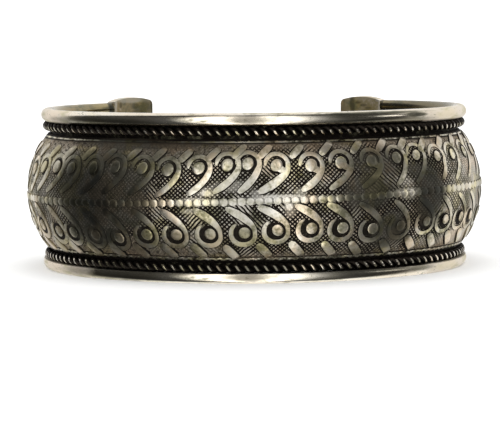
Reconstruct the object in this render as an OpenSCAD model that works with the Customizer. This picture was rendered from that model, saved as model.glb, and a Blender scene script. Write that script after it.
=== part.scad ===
// Open cuff bangle in oxidised silver. A domed band runs between two round wire
// rims, a twisted wire lies beside each rim, and a crowned block closes each end.
// The front of the cuff faces -Y and its lower rim stands on Z = 0, so the wrist
// goes in along Z, or from behind through the opening between the end blocks.

/* [Wrist hollow] */
// Width of the hollow, side to side
wrist_w = 65.4; // [62:0.2:69]
// Depth of the hollow, front to back, measured as if the oval were closed
wrist_d = 52.6; // [52.2:0.2:55]
// Plan radius of the hollow at each side
side_r = 22.5; // [21:0.1:22.8]
// Distance of the left block's free end from the middle
left_end = 17.7; // [12:0.1:18.7]
// Distance of the right block's free end from the middle
right_end = 15.3; // [12:0.1:18.7]

/* [Band] */
// Height over both rims
cuff_h = 26; // [25:0.2:29]
// How far the crown of the dome stands out from the wrist
crown_out = 4.8; // [4.2:0.1:5.6]
// How far the edge of the dome stands out from the wrist
edge_out = 1.4; // [1.2:0.05:1.8]
// Thickness of the dome at its crown
crown_t = 0.8; // [0.6:0.05:1.2]
// Thickness of the flat margins behind the twisted wires
margin_t = 0.42; // [0.3:0.02:0.5]
// Plain strip left between the upper twisted wire and the dome
upper_strip = 0.45; // [0.1:0.05:0.8]

/* [Rims and twisted wires] */
// Diameter of the rim wires
rim_d = 2.2; // [2.1:0.1:2.6]
// Height of the upper rim, which is worn flat above and below
upper_rim_h = 2; // [1.6:0.05:2.05]
// Height of the lower rim, which is dressed down under its twisted wire
lower_rim_h = 1.58; // [1.4:0.02:1.8]
// Diameter over both strands of a twisted wire
rope_d = 1.5; // [1.2:0.05:1.7]
// Length of one full turn of a twisted wire
rope_lay = 2.86; // [2.4:0.02:4]

/* [End blocks] */
// Length of each block along the wrist side
block_len = 7.6; // [5:0.1:8.8]
// How far the left block's top rises above the upper rim
left_crown = 0.85; // [0.2:0.05:1.2]
// How far the right block's top rises above the upper rim
right_crown = 0.6; // [0.2:0.05:1.2]
// Radius of the curve along the top of a block
block_crown_r = 12; // [10:0.5:20]
// Radius of the corner where a block's top meets its free end
block_corner_r = 1; // [0.4:0.1:1.6]

/* [Hidden] */
$fn = 96;

// Gap between neighbouring pieces, and a little length to cut past a face
gap = 0.03;
past = 0.5;

// The plan is an oval of tangent arcs, all of them circles about four centres.
half_w = wrist_w / 2;
half_d = wrist_d / 2;
side_c = half_w - side_r;
front_r = (side_c * side_c + half_d * half_d - side_r * side_r) / (2 * (half_d - side_r));
front_c = front_r - half_d;
turn = atan2(front_c, side_c);

// Arcs of the hollow, met going round anticlockwise from the back:
// [first direction that it faces, last direction, centre, radius]
FIRST = 0;
LAST = 1;
CENTRE = 2;
RADIUS = 3;
ARCS = [
    [turn, 180 - turn, [0, -front_c], front_r],
    [180 - turn, 180 + turn, [-side_c, 0], side_r],
    [180 + turn, 360 - turn, [0, front_c], front_r],
    [360 - turn, 360 + turn, [side_c, 0], side_r],
    [360 + turn, 540 - turn, [0, -front_c], front_r]
];

// A ring is a place where a swept piece's section is set:
// [direction that it faces, distance along the piece, centre, radius of the hollow]
FACING = 0;
ALONG = 1;

// Directions of the blocks' free ends and of the seams where they meet the band
block_angle = degrees_for(block_len, front_r);
left_free = 180 - acos(left_end / front_r);
left_seam = left_free + block_angle;
right_free = 360 + acos(right_end / front_r);
right_seam = right_free - block_angle;
seam_angle = degrees_for(gap, front_r);

// Front and back of the dome, which centre the cuff on the origin
front_y = -half_d - crown_out;
back_y = (front_r + crown_out) * max(sin(left_free), sin(right_free)) - front_c;
centre_y = -(front_y + back_y) / 2;

// Heights of the pieces, from the floor up
rope_r = rope_d / 2;
lower_rope_z = lower_rim_h + gap + rope_r;
dome_bottom = lower_rope_z + rope_r + gap;
upper_rim_bottom = cuff_h - upper_rim_h;
upper_rope_z = upper_rim_bottom - gap - rope_r;
dome_top = upper_rope_z - rope_r - upper_strip;
dome_mid = (dome_bottom + dome_top) / 2;
rope_out = margin_t + gap + rope_r;

// Circles of the dome's outer and inner faces, from their chord and rise
dome_half = (dome_top - dome_bottom) / 2;
outer_rise = crown_out - edge_out;
outer_r = (dome_half * dome_half + outer_rise * outer_rise) / (2 * outer_rise);
inner_half = dome_half - margin_t;
inner_rise = crown_out - crown_t;
inner_r = (inner_half * inner_half + inner_rise * inner_rise) / (2 * inner_rise);

// Section of a twisted wire: two soldered strands, as radii every 60 degrees
rope_waist = 0.74;
ROPE_RADII = [1, rope_waist, rope_waist, 1, rope_waist, rope_waist];

// Spacing of the rings that the swept pieces are drawn through
ring_step = 2.6;
rope_ring_step = rope_lay / 7;

// How far a block's top has fallen where its round corner begins
crown_drop = block_crown_r - sqrt(pow(block_crown_r, 2) - pow(block_len / 2 - block_corner_r, 2));

function degrees_for(length, radius) = length / radius * 180 / PI;

// The parts of the arcs that run from seam to seam
function band_arcs() =
    [for (arc = ARCS)
        let (a = max(arc[FIRST], left_seam + seam_angle), b = min(arc[LAST], right_seam - seam_angle))
        if (a < b) [a, b, arc[CENTRE], arc[RADIUS]]];

function arc_length(arc, out) = (arc[LAST] - arc[FIRST]) * PI / 180 * (arc[RADIUS] + out);

function length_before(arcs, i, out) =
    i == 0 ? 0 : arc_length(arcs[i - 1], out) + length_before(arcs, i - 1, out);

// Rings from seam to seam for a piece whose line lies this far out from the wrist,
// evenly spaced on each arc
function rings(out, spacing) =
    let (arcs = band_arcs(), last = len(arcs) - 1)
    [for (i = [0:last])
        let (arc = arcs[i], length = arc_length(arc, out), steps = ceil(length / spacing),
             before = length_before(arcs, i, out))
        for (step = [0:(i == last ? steps : steps - 1)])
            [arc[FIRST] + (arc[LAST] - arc[FIRST]) * step / steps, before + length * step / steps,
             arc[CENTRE], arc[RADIUS]]];

// A point of a section, given as [distance out from the wrist, height], on a ring
function on_ring(ring, p) =
    let (plan = ring[CENTRE] + (ring[RADIUS] + p[0]) * [cos(ring[FACING]), sin(ring[FACING])])
    [plan[0], plan[1], p[1]];

// Points on a circle, evenly spaced from one angle to another
function arc_points(centre, radius, from, to, steps) =
    [for (i = [0:steps])
        let (a = from + (to - from) * i / steps) centre + radius * [cos(a), sin(a)]];

// A section is listed anticlockwise: its outer side going up, then as many points of
// its inner side going down.
function band_section() =
    let (outer_a = asin(dome_half / outer_r), inner_a = asin(inner_half / inner_r),
         bottom = lower_rim_h + gap, top = upper_rim_bottom - gap)
    concat([[margin_t, bottom], [margin_t, dome_bottom]],
           arc_points([crown_out - outer_r, dome_mid], outer_r, -outer_a, outer_a, 12),
           [[margin_t, dome_top], [margin_t, top], [0, top]],
           arc_points([inner_rise - inner_r, dome_mid], inner_r, inner_a, -inner_a, 14),
           [[0, bottom]]);

// A round wire with flats worn above and below
function rim_section(bottom, top, middle) =
    let (r = rim_d / 2, low = asin((bottom - middle) / r), high = asin((top - middle) / r))
    concat(arc_points([r, middle], r, low, high, 6),
           arc_points([r, middle], r, 180 - high, 180 - low, 6));

// The section of a twisted wire turns about the wire with the distance along it.
function rope_section(z, distance) =
    [for (k = [0:5])
        let (a = 60 * k - 360 * distance / rope_lay)
        [rope_out, z] + rope_r * ROPE_RADII[k] * [cos(a), sin(a)]];

// Skins the rings of points, each of them with the same number of sides. The two ends
// are closed by strips from the outer side to the inner.
module skin(points, sides) {
    last = len(points) - sides;
    walls = [for (ring = [0:sides:last - 1], k = [0:sides - 1])
        let (a = ring + k, b = ring + (k + 1) % sides)
        each [[a, b, b + sides], [a, b + sides, a + sides]]];
    ends = [for (k = [0:sides / 2 - 2])
        let (a = k, b = k + 1, c = sides - 2 - k, d = sides - 1 - k)
        each [[a, c, b], [a, d, c], [last + a, last + b, last + c], [last + a, last + c, last + d]]];
    translate([0, centre_y, 0]) polyhedron(points, concat(walls, ends));
}

module swept(section) {
    skin([for (ring = rings(0, ring_step), p = section) on_ring(ring, p)], len(section));
}

module rope(z) {
    skin([for (ring = rings(rope_out, rope_ring_step), p = rope_section(z, ring[ALONG]))
              on_ring(ring, p)], 6);
}

// A block has the outline of the band and rims together, but is solid.
module block_section(top) {
    intersection() {
        translate([crown_out - outer_r, dome_mid]) circle(outer_r);
        square([crown_out + past, cuff_h]);
    }
    square([rim_d, top]);
}

// Side of a block, with its free end at +X
module block_side(top) {
    difference() {
        union() {
            translate([0, top - block_crown_r]) circle(block_crown_r);
            translate([-block_len, -past]) square([2 * block_len, top / 2 + past]);
        }
        translate([block_len / 2 - block_corner_r, top - crown_drop - block_corner_r])
            difference() {
                square(block_corner_r + past);
                circle(block_corner_r);
            }
    }
}

// A block between two directions of the right back arc, cut to its side outline
module block(from, to, top) {
    translate([0, centre_y - front_c, 0])
        intersection() {
            rotate([0, 0, from])
                rotate_extrude(angle = to - from)
                    translate([front_r, 0]) block_section(top);
            rotate([0, 0, (from + to) / 2])
                rotate([90, 0, 90])
                    linear_extrude(2 * front_r) block_side(top);
        }
}

module band() {
    color("#6f6c62") swept(band_section());
}

module upper_rim() {
    color("#d9d4c3") swept(rim_section(upper_rim_bottom, cuff_h, cuff_h - upper_rim_h / 2));
}

module lower_rim() {
    color("#d9d4c3") swept(rim_section(0, lower_rim_h, upper_rim_h / 2));
}

module upper_rope() {
    color("#4a4843") rope(upper_rope_z);
}

module lower_rope() {
    color("#4a4843") rope(lower_rope_z);
}

module left_terminal() {
    color("#8c8068")
        mirror([1, 0, 0]) block(180 - left_seam, 180 - left_free, cuff_h + left_crown);
}

module right_terminal() {
    color("#8c8068") block(right_seam - 360, right_free - 360, cuff_h + right_crown);
}

band();
upper_rim();
lower_rim();
upper_rope();
lower_rope();
left_terminal();
right_terminal();
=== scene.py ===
"""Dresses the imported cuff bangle: a domed band with chased scrolls, leaves and a bead
stem on a cross-hatched ground, twisted wires, rims, end blocks, a pale studio and the
camera. Run as a script; every step is an operator, listed in the Cuff panel."""
import math
import random

import bpy
from mathutils import Matrix, Quaternion, Vector


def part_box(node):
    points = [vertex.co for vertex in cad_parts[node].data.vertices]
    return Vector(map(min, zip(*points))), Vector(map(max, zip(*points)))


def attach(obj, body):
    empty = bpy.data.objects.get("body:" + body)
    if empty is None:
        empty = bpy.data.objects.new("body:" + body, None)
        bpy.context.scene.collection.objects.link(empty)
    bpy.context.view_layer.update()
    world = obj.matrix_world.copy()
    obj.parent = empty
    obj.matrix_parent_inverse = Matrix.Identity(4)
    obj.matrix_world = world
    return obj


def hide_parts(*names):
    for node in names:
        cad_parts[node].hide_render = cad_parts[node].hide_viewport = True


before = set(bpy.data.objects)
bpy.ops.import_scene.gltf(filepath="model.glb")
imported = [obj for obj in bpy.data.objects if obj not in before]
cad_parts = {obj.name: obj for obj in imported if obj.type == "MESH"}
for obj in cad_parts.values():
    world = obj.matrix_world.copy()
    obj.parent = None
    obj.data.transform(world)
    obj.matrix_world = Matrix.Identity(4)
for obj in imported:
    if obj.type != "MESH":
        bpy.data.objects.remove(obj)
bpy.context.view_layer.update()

bl_info = {
    "name": "Chased silver cuff",
    "version": (1, 0, 0),
    "blender": (4, 5, 0),
    "location": "3D View > Sidebar > Cuff",
    "description": "Dresses the packed cuff bangle in chased, oxidised silver",
    "category": "Object",
}

MM = 0.001
FULL_TURN = 2 * math.pi
ACROSS = (0, math.pi / 2, 0)
PHOTO_WIDTH = 500
FLOOR_WIDTH = 12.0
# How far out from the wrist the line lies that flat work is wrapped round
LINE_OUT = 4.0 * MM
# Points nearer to one another than this are merged
MERGE = 0.001 * MM
# Width of the rounding along a block's edges
BLOCK_EDGE = 0.16 * MM
# Where raised work starts, under the ground
SUNK = -0.1 * MM
# Steep sides of raised work: faces whose normal's Y, which is -1 outwards, is over this
STEEP = -0.75
# Faces of the band whose normal's Y is within this of 0 face neither out nor in
SIDEWAYS = 0.2

# Chased work is charted in millimetres on the unrolled dome: "along" is measured from
# the middle of the front, to the right, and "up" from the middle of the dome, over its
# curve. A scroll starts with its foot at the stem and ends curled round its boss.
UPPER_SCROLLS = (
    # boss_along, boss_up, foot_along, foot_up, tail_half_width
    (-43.7, 4.1, -44.9, 0.4, 0.38), (-39.5, 4.7, -41, 0.8, 0.38), (-35.3, 4.95, -37.6, 0.8, 0.38),
    (-31.5, 4.9, -33.4, 0.9, 0.4), (-26.8, 5.15, -29, 1, 0.4), (-22.5, 5.4, -24.6, 1.2, 0.4),
    (-17.7, 5.3, -19.8, 1.2, 0.42), (-13.4, 5.1, -15.3, 0.9, 0.42), (-8.5, 5.4, -10.2, 1.2, 0.45),
    (-4.1, 5.9, -6.2, 1.6, 0.5), (-0.96, 6.1, -2.4, 1.6, 0.5), (3.4, 5.8, 0.6, 1.6, 0.6),
    (8.75, 5.7, 7.1, 1.8, 0.52), (13.55, 6, 11.4, 1.9, 0.48), (18.75, 6.1, 16.6, 1.9, 0.48),
    (23.45, 6.45, 22.8, 2, 0.42), (27.5, 6.7, 26.6, 2.3, 0.4), (32.1, 6.3, 32.3, 2.5, 0.38),
    (36.4, 6.4, 35.8, 2.3, 0.38), (41.05, 6.6, 40.1, 2.3, 0.38),
)
LOWER_SCROLLS = (
    # boss_along, boss_up, foot_along, foot_up, tail_half_width
    (-40.6, -4.95, -42.6, -1.5, 0.45), (-35.3, -5.6, -37.4, -1.5, 0.45),
    (-31.4, -5.5, -33.6, -1.5, 0.45), (-26.6, -5.7, -28.9, -1.5, 0.48),
    (-22.1, -5.9, -24.4, -1.4, 0.48), (-17, -5.15, -19.3, -1.2, 0.5),
    (-12.1, -5.05, -14.5, -1.1, 0.52), (-6.8, -4.86, -9.3, -0.95, 0.58),
    (-1.54, -4.66, -4.3, -0.75, 0.55), (3.46, -4.28, 0.5, -0.55, 0.58),
    (8.65, -4.1, 6.1, -0.45, 0.56), (13.56, -4.2, 11, -0.35, 0.56),
    (18.65, -4.57, 16.1, -0.4, 0.5), (23.7, -4.4, 22.2, -0.3, 0.45), (28.85, -4, 27, -0.2, 0.42),
    (33.2, -4, 32, -0.1, 0.4), (37.7, -3.9, 36.3, 0, 0.4), (41.7, -4, 40.5, 0, 0.4),
)
# Where along the chart an upper boss runs into its scroll's tail, and the middle line of
# that neck from the boss
NECKED_BOSSES = (3.4, 8.75, 13.55, 18.75)
NECK = (
    # right, up, half_width
    (0, -0.25, 0.6), (0.6, -0.6, 0.58), (1.2, -0.95, 0.5),
)
# Middle line of a scroll: its tail, in shares of its length, its width and its bulge, and
# its curl about the boss, from beside the boss to the tip
SCROLL_TAIL = (
    # along, width, bulge
    (0, 0.5, 0), (0.1, 0.9, 0.3), (0.36, 1.16, 0.9), (0.68, 1.1, 1),
)
UPPER_CURL = (
    # right, up, half_width
    (1.5, -1.05, 0.5), (1.78, -0.15, 0.4), (1.6, 0.9, 0.36), (0.88, 1.68, 0.37),
    (-0.1, 1.92, 0.38), (-0.98, 1.58, 0.38), (-1.55, 0.8, 0.35), (-1.72, -0.05, 0.2),
)
LOWER_CURL = (
    # right, up, half_width
    (1.3, 0.95, 0.4), (1.56, 0, 0.33), (1.46, -1.02, 0.36), (0.78, -1.78, 0.42),
    (-0.2, -2.02, 0.45), (-1.2, -1.76, 0.44), (-1.9, -0.98, 0.4), (-2.06, 0.05, 0.37),
    (-1.72, 0.95, 0.3), (-1.15, 1.42, 0.14),
)
UPPER_LEAVES = (
    # along, up
    (-28.5, 7.5), (-24.2, 7.4), (-19.6, 7.7), (-15.2, 7.6), (-10.8, 7.4), (-6.4, 7.7),
    (-2.3, 8.2), (1.7, 8.1), (6.7, 8.1), (11.5, 8.5), (16.7, 8.6), (21.3, 8.8), (25.4, 8.8),
    (29.6, 8.5), (34.2, 8.7), (38.5, 8.8),
)
LOWER_LEAVES = (
    # along, up
    (-28, -8.4), (-23.2, -8.3), (-18.7, -8.2), (-13.75, -8), (-8.9, -7.9), (-3.7, -8.2),
    (1.5, -7.9), (6.5, -7.6), (11.7, -7.8), (16.2, -8), (21.6, -7.9), (26.4, -7.6), (31.2, -7.6),
    (35.7, -7.5), (39.8, -7.5),
)
# Outline of a leaf in shares of half its length and half its width
LEAF_OUTLINE = ((-1, 0.45), (-0.7, 0.9), (0, 1), (0.7, 0.9), (1, 0.45))
STEM_HEIGHTS = (
    # along, up
    (-80, -0.9), (-45, -0.68), (-35, -0.6), (-27, -0.4), (-20, -0.24), (-10, 0.02), (-5, 0.14),
    (0, 0.27), (5, 0.38), (10, 0.43), (20, 0.64), (30, 0.86), (45, 0.93), (82, 0.9),
)
# Sections in shares of half the width and of the height, from outside to the middle
BOSS_PROFILE = ((0.97, 0.75), (0.9, 0.9), (0.66, 0.97), (0.3, 1))
BEAD_PROFILE = ((0.97, 0.6), (0.8, 0.92), (0.4, 1))
# Half the length of a bead as a share of their pitch: over a half, so that they touch
BEAD_SHARE = 0.6
# Half the section of a raised band, for a half width of 1: flat, with narrow skirts
BAND_PROFILE = ((1.3, -0.4), (1.26, 0.02), (1.04, 0.03), (1, 0.2), (0.93, 0.3), (0.5, 0.33))
BAND_HEIGHT = 0.34
# The even pitch that carries the work on past the charts, up to a margin at both seams
EVEN_PITCH = 4.55
SCROLL_MARGIN = 2.6
LEAF_MARGIN = 2.0
# Borders: how far in from the dome's edges their middles run, and half their widths;
# then how far the zigzag swings and how long one of its turns is
RIDGE_IN, RIDGE_HALF = 0.32, 0.15
ZIGZAG_IN, ZIGZAG_HALF, ZIGZAG_SWING, ZIGZAG_LENGTH = 0.62, 0.2, 0.12, 1.3
# Lines along the dome that are dark: height and half the width
DARK_LINES = ((10.1, 0.95), (-9.2, 0.16), (-10.2, 0.7))
# Where the dome is a cooler, darker grey, a painted dark reflection between its two highlights:
# middle, half size, strength
COOL_DARK_MIDDLE = ((-1.2, 0.2), (5.4, 4.8), 0.9)

# Patches are ovals with ragged edges: dark stains, or shine, where the metal is rubbed. On the
# dome and rims the dark patches are partly painted dark reflections, and on the dome and blocks
# the shine is partly painted highlights. On the dome and inside they are charted as above. On a
# rim or a twisted wire "up" is from its own middle. On a block "along" is from the seam to the
# free end and "up" from the rims' top; its shine is solder or a filed edge beside the seam, and a
# painted highlight with wear along its crown.
PATCHES = {
    # Stains, and painted dark reflections in the dark zones either side of the front.
    "dome_stains": (
        # along, up, half_along, half_up, strength
        (-74, 2, 9, 7, 0.55), (-60, -3, 6, 6, 0.4), (-49.5, 4, 4, 3, 0.3), (-33, 1, 3, 3.6, 0.45),
        (-27, 0.3, 5.2, 7.6, 1), (-20.5, 0.8, 4.5, 6.8, 0.84), (-19.5, 9.4, 13, 1.3, 0.9),
        (-16, 6.8, 5, 2.8, 0.6), (-20, -6.8, 6, 2, 0.5), (-26.5, -4.6, 5.5, 3.8, 0.85),
        (-25, 5.6, 6, 3.4, 0.85), (-37.5, 5.8, 4.5, 4.6, 0.3), (-30, 2.2, 4.4, 5.4, 0.9),
        (-37, -2.5, 4, 6, 0.35), (-9, 8, 10, 1.3, 0.45), (-9, -7.4, 8, 1.9, 0.45),
        (-5.5, -6, 9.5, 2.9, 0.48), (13, 1.6, 2.6, 1.2, 0.4), (18, 1.2, 4.7, 3.3, 0.86),
        (19, 4.6, 2.4, 1.9, 0.6), (22, -5, 3.6, 3.8, 0.85), (19, -8.6, 5, 1, 0.5),
        (26.6, 4.4, 1.9, 1.3, 0.85), (28.6, 3, 2.5, 1.7, 0.88), (30.3, 1.4, 2.4, 2, 0.88),
        (28.8, -1.2, 2.6, 2.4, 0.85), (29.4, -3.8, 2.6, 1.6, 0.6), (29.7, 1, 3.2, 5, 0.97),
        (19.5, 5.6, 5, 2.6, 0.75), (47, -2, 4, 5, 0.35), (60, 3, 7, 5, 0.45),
        (75, -1, 8, 8, 0.55),
    ),
    # Rubbed places, and painted highlights round the stem and along the upper ridge.
    "dome_shine": (
        # along, up, half_along, half_up, strength
        (-7, 1.7, 1.9, 0.8, 0.5), (-10, -1.3, 1, 0.4, 0.6), (5.4, -0.9, 0.9, 1.3, 0.5),
        (-7.2, 1.5, 1, 0.55, 1), (5.2, -0.6, 0.7, 0.7, 1), (7, 1.3, 1, 0.9, 0.6),
        (-8.3, 0.2, 3.4, 0.6, 0.9), (4.6, 0.65, 5, 0.6, 0.95), (25, 0.9, 3.2, 0.6, 1),
        (-3.5, 2.6, 3, 1, 0.55), (36, 0.9, 9, 0.6, 0.7), (43.5, 0, 3.5, 6.5, 0.55),
        (-4, 9.9, 5.5, 0.5, 0.8), (0.6, 1.5, 1, 0.5, 0.5), (24.8, 2.3, 1.4, 1, 0.35),
        (25, 0.5, 1.8, 0.7, 0.6), (-40, -7.5, 6, 2, 0.6), (-38, 7.4, 6, 1.6, 0.5),
        (40, -7.6, 8, 1.8, 0.7), (29, -7.9, 2.2, 1, 0.5), (36, 2.6, 1.2, 0.6, 0.5),
        (-25, -8.5, 3, 0.8, 0.4),
    ),
    "worn_sides": (
        # along, up, half_along, half_up, strength
        (-41, 0, 8, 14, 0.85), (-58, 0, 9, 14, 0.5), (45, -7, 6, 4, 0.6),
    ),
    "inside_stains": (
        # along, up, half_along, half_up, strength
        (-76.5, 12, 0.8, 30, 0.9), (79.3, 12, 0.6, 30, 0.7), (-66, 20, 5, 9, 0.3),
        (70, 15, 12, 30, 0.75), (0, 12, 20, 6, 0.3), (-30, 6, 9, 5, 0.35), (28, 18, 8, 4, 0.35),
    ),
    # Stains, and painted dark reflections in the left and right thirds of the front.
    "upper_rim_wire_stains": (
        # along, up, half_along, half_up, strength
        (-27, -0.35, 10, 0.55, 0.6), (-58, 0.2, 9, 1.2, 0.35), (19, 0.66, 9, 0.2, 0.9),
        (15.5, 0.25, 4, 0.3, 0.7), (26.3, 0.25, 1.8, 0.4, 0.9), (27.3, 0.2, 1.5, 0.3, 1),
        (22, -0.5, 8, 0.35, 0.7), (0, -0.1, 3, 0.4, 0.25), (-68.9, 0, 0.55, 6, 1),
        (72, 0, 0.3, 6, 0.9), (60, 0, 12, 6, 0.7), (-50, 0.2, 9, 2, 0.25),
    ),
    # Stains, and painted dark reflections in the left and right thirds of the front.
    "lower_rim_wire_stains": (
        # along, up, half_along, half_up, strength
        (-22, 0.3, 9, 1.3, 0.6), (20, 0.3, 7, 0.8, 0.5), (-1, 0.1, 4, 0.4, 0.3),
        (27.5, 0.2, 2.6, 0.4, 0.6), (-55, 0.2, 9, 1.2, 0.4), (60, 0.2, 9, 1.2, 0.4),
    ),
    "upper_twisted_wire_stains": (
        # along, up, half_along, half_up, strength
        (-6, 0, 5, 3, 0.55), (30.5, 0, 3, 3, 0.7), (-33, 0, 5, 3, 0.15), (8, 0, 3, 3, 0.3),
        (-60, 0, 8, 3, 0.5), (62, 0, 8, 3, 0.5),
    ),
    "lower_twisted_wire_stains": (
        # along, up, half_along, half_up, strength
        (-3, 0, 11, 3, 0.8), (-20, 0, 6, 3, 0.5), (26, 0, 3, 3, 0.5), (-60, 0, 8, 3, 0.5),
        (62, 0, 8, 3, 0.5),
    ),
    "left_block_stains": (
        # along, up, half_along, half_up, strength
        (1.25, -0.45, 0.3, 0.5, 0.6), (4.3, -0.7, 0.9, 0.5, 0.5), (4.7, -1.8, 1.3, 0.6, 0.55),
        (6.2, -1.2, 1.2, 2, 0.35), (7.5, -1, 0.3, 3, 0.7), (2.2, -2.2, 1, 0.5, 0.4),
        (3, -12, 3, 6, 0.4), (5, -22, 3, 3, 0.5),
    ),
    "right_block_stains": (
        # along, up, half_along, half_up, strength
        (5.4, -0.8, 0.5, 1.6, 0.7), (4.3, -0.45, 0.6, 0.25, 0.6), (3.3, -0.9, 0.7, 0.25, 0.6),
        (2.3, -1.4, 0.7, 0.25, 0.6), (2.4, -2.1, 2.2, 0.45, 0.6), (7, -1.6, 0.9, 0.7, 0.3),
        (4, -10, 3, 5, 0.4), (3, -21, 3, 4, 0.5),
    ),
    # Solder or a filed edge at the seam, and a painted highlight with wear along the crown.
    "left_block_shine": (
        # along, up, half_along, half_up, strength
        (0.2, -10, 0.35, 30, 0.7), (3.8, 0.5, 4.2, 0.55, 0.45),
    ),
    "right_block_shine": (
        # along, up, half_along, half_up, strength
        (0.05, -10, 0.28, 30, 1), (0.3, 0.05, 0.5, 0.35, 1), (4, 0.4, 4, 0.4, 0.25),
    ),
}

# Brightness of the studio's walls, which the silver mirrors, by direction in degrees:
# 0 is towards the camera, positive to its right. Two soft panels stand beside the
# camera, and the walls are white from the sides to the back.
STUDIO_WALLS = (
    # direction, brightness
    (-180, 1), (-135, 0.95), (-121, 0.75), (-108, 0.42), (-99, 0.12), (-88, 0.04), (-60, 0.04),
    (-38, 0.08), (-31, 1.3), (-26, 2), (-15, 2), (-9, 0.6), (1, 0.45), (7, 1.9), (19, 2),
    (25, 0.9), (33, 0.25), (44, 0.07), (75, 0.05), (83, 0.5), (93, 0.85), (108, 1), (130, 1),
    (180, 1),
)
BRIGHTEST = 2.0
EVEN_LIGHT = (1.5, 1.5, 1.5)
# A small lamp far to the camera's right: direction, height, half its size, brightness
LAMP = (math.radians(67), 0.2, 0.14, 1.3)


def number(name, description, default, **more):
    return bpy.props.FloatProperty(
        name=name, description=description, default=default, **more)


def length(name, description, default):
    """A length as a property; default in millimetres."""
    return number(name, description, default * MM, min=0, unit="LENGTH",
                  subtype="DISTANCE", precision=5)


def angle(name, description, degrees):
    return number(name, description, math.radians(degrees), subtype="ANGLE")


def colour(name, description, default):
    return bpy.props.FloatVectorProperty(
        name=name, description=description, default=default, min=0, max=1, size=3,
        subtype="COLOR")


class CuffSizes(bpy.types.PropertyGroup):
    """Sizes shared with the CAD source."""
    half_width: length("Half width", "Half the width of the wrist hollow", 32.7)
    half_depth: length("Half depth", "Half the depth of the closed oval", 26.3)
    side_radius: length("Side radius", "Plan radius of the hollow at each side", 22.5)
    left_end: length("Left end", "Left free end, from the middle", 17.7)
    right_end: length("Right end", "Right free end, from the middle", 15.3)
    block_length: length("Block length", "Length of an end block", 7.6)
    crown_out: length("Crown", "How far the dome stands out at its crown", 4.8)
    edge_out: length("Edge", "How far the dome's edge stands out", 1.4)
    crown_wall: length("Crown wall", "Thickness of the dome at its crown", 0.8)
    margin_wall: length("Margin wall", "Thickness of the flat margins", 0.42)
    dome_bottom: length("Dome bottom", "Height of the dome's lower edge", 3.14)
    dome_top: length("Dome top", "Height of the dome's upper edge", 22.02)
    rim_width: length("Rim width", "Diameter of the rim wires", 2.2)
    rim_middle: length("Rim middle", "From a rim's middle to its outer flat", 1.0)
    wire_width: length("Twisted wire", "Diameter over both strands", 1.5)
    wire_lay: length("Lay", "Length of a full turn of a twisted wire", 2.86)
    lower_wire_height: length("Lower wire", "Height of the lower twisted wire", 2.36)
    upper_wire_height: length("Upper wire", "Height of the upper twisted wire", 23.22)
    gap: length("Gap", "Gap between neighbouring pieces", 0.03)
    solder_height: length("Solder height", "Solder under the upper rim", 0.14)
    solder_out: length("Solder width", "How far that solder stands out", 0.34)


class ChasingSizes(bpy.types.PropertyGroup):
    """Sizes of the chased work."""
    ground_depth: length("Ground depth", "Depth of the ground under the dome", 0.26)
    boss_half: length("Boss", "Half the width of a boss", 0.98)
    boss_height: length("Boss height", "Height of a boss above the ground", 0.24)
    recess_half: length("Recess", "Half the width of a sunk ring", 1.4)
    recess_height: length("Recess height", "Floor of a sunk ring above the ground", 0.025)
    bead_pitch: length("Bead pitch", "Spacing of the beads of the stem", 1.36)
    bead_half: length("Bead", "Half the height of a bead", 0.64)
    bead_height: length("Bead height", "How far a bead stands up", 0.2)
    leaf_length: length("Leaf length", "Length of a leaf", 3.0)
    leaf_half: length("Leaf width", "Half the width of a leaf", 0.58)
    hatch_pitch: length("Hatch pitch", "Spacing of the hatched lines", 0.5)


class SilverColours(bpy.types.PropertyGroup):
    """Colours of the worn and oxidised silver."""
    # Bright silver also colours the painted highlights.
    bright: colour("Bright silver", "Rubbed high places", (0.86, 0.80, 0.69))
    worn: colour("Worn silver", "Handled faces", (0.56, 0.515, 0.36))
    ground: colour("Ground", "Hatched ground between its cuts", (0.48, 0.43, 0.34))
    olive: colour("Tarnish", "Olive-grey tarnish", (0.24, 0.23, 0.15))
    purple: colour("Purple tarnish", "Purple-brown tarnish at the dome's edges",
                   (0.38, 0.31, 0.23))
    # Stain also colours the painted dark reflections.
    stain: colour("Stain", "Nearly black stains", (0.05, 0.05, 0.043))
    beige: colour("Beige film", "Dull film on the ends of the rims", (0.70, 0.62, 0.51))
    brown: colour("Brown tarnish", "Brown tarnish inside and on the blocks",
                  (0.42, 0.35, 0.21))
    recess: colour("Recess", "Oxide left in the recesses", (0.022, 0.018, 0.015))
    khaki: colour("Khaki film", "Tints patches of the silver", (1.0, 0.965, 0.76))
    rose: colour("Rose film", "Tints patches of the silver", (1.0, 0.91, 0.82))
    # Cool grey darkens as well as tints: it paints the dark reflection between the dome's two
    # highlights.
    cool_dark_reflection: colour("Cool grey", "Tints the middle of the dome", (0.64, 0.67, 0.73))


class StudioSettings(bpy.types.PropertyGroup):
    """Camera and stage."""
    target_height: length("Target height", "Height of the camera's target", 13.0)
    distance: length("Distance", "From the camera to the target", 341.0)
    elevation: angle("Elevation", "The camera's elevation", 4.45)
    roll: angle("Roll", "Turn of the picture", 0.55)
    focal_pixels: number("Focal length", "In pixels of the photograph", 2063.0)
    target_right: number("Target right", "Pixels from the middle to the target", 4.3)
    target_up: number("Target up", "Pixels from the middle up to the target", 31.0)
    floor: colour("Floor", "Colour of the floor", (0.93, 0.93, 0.925))


# Selection and modelling helpers

def leave_edit():
    bpy.ops.object.mode_set(mode="OBJECT")


def deselect_all():
    if bpy.context.object and bpy.context.object.mode != "OBJECT":
        leave_edit()
    bpy.ops.object.select_all(action="DESELECT")


def make_active(piece):
    deselect_all()
    piece.select_set(True)
    bpy.context.view_layer.objects.active = piece


def edit(piece):
    make_active(piece)
    bpy.ops.object.mode_set(mode="EDIT")
    bpy.ops.mesh.select_all(action="SELECT")


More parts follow.
